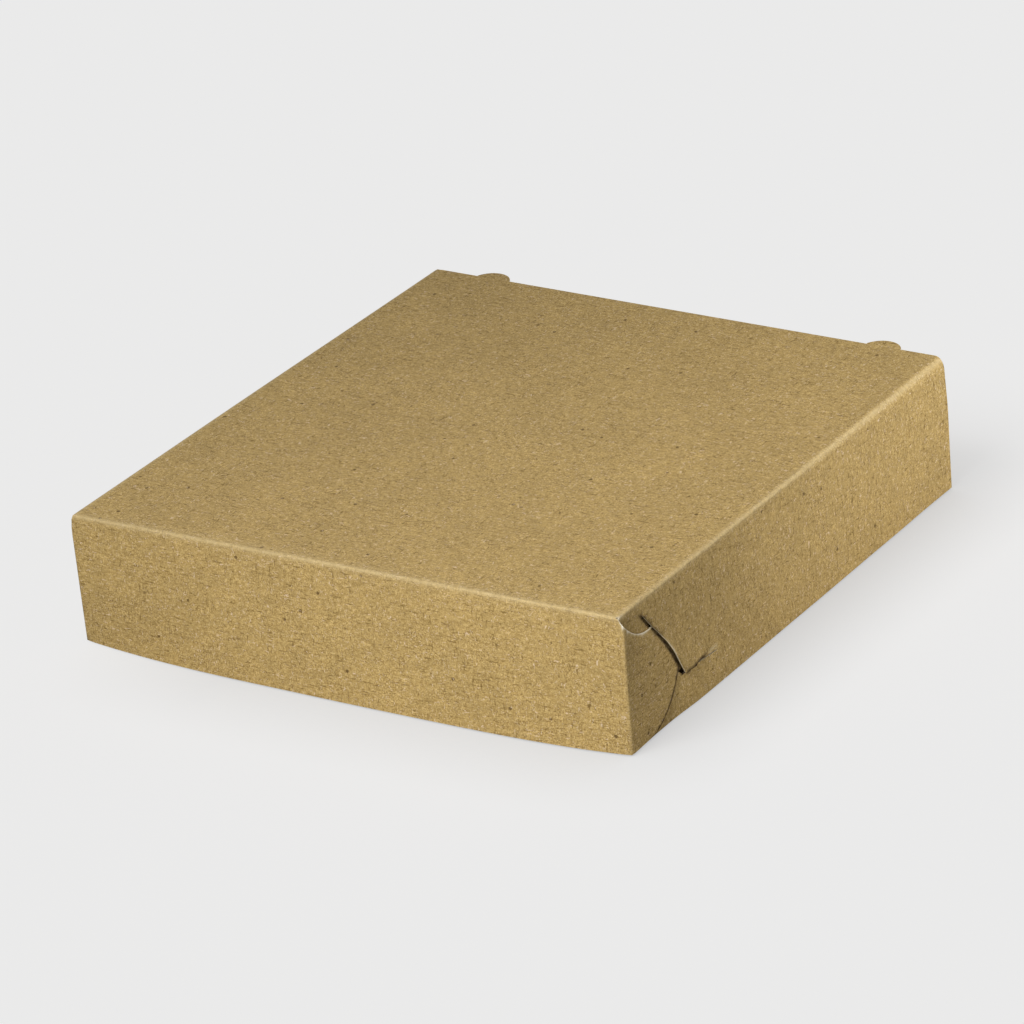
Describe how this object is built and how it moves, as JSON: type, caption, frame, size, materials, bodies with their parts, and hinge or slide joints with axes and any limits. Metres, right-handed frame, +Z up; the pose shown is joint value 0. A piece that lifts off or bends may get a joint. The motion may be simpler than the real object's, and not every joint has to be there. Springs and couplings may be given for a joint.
{
  "type": "pizza box",
  "caption": "Shallow square kraft board pizza box with a hinged lid that hangs over the tray, tucked corner locks and half-round hinge tabs, shut.",
  "frame": {"origin": "centre of the box's underside, on the surface that it stands on", "axes": "+X along the front edge to the right seen from the front, +Y from the front wall to the hinge crease, +Z up"},
  "size_m": [0.2514, 0.2608, 0.0575],
  "materials": {
    "kraft_board": "matte"
  },
  "bodies": {
    "tray": {"tray": "kraft_board"},
    "lid": {"lid": "kraft_board"}
  },
  "joints": [
    {"name": "lid_hinge", "type": "hinge", "parent": "tray", "child": "lid", "pos_m": [0, 0.12475, 0.05725], "axis": [-1, 0, 0], "range_deg": [0, 180]}
  ]
}
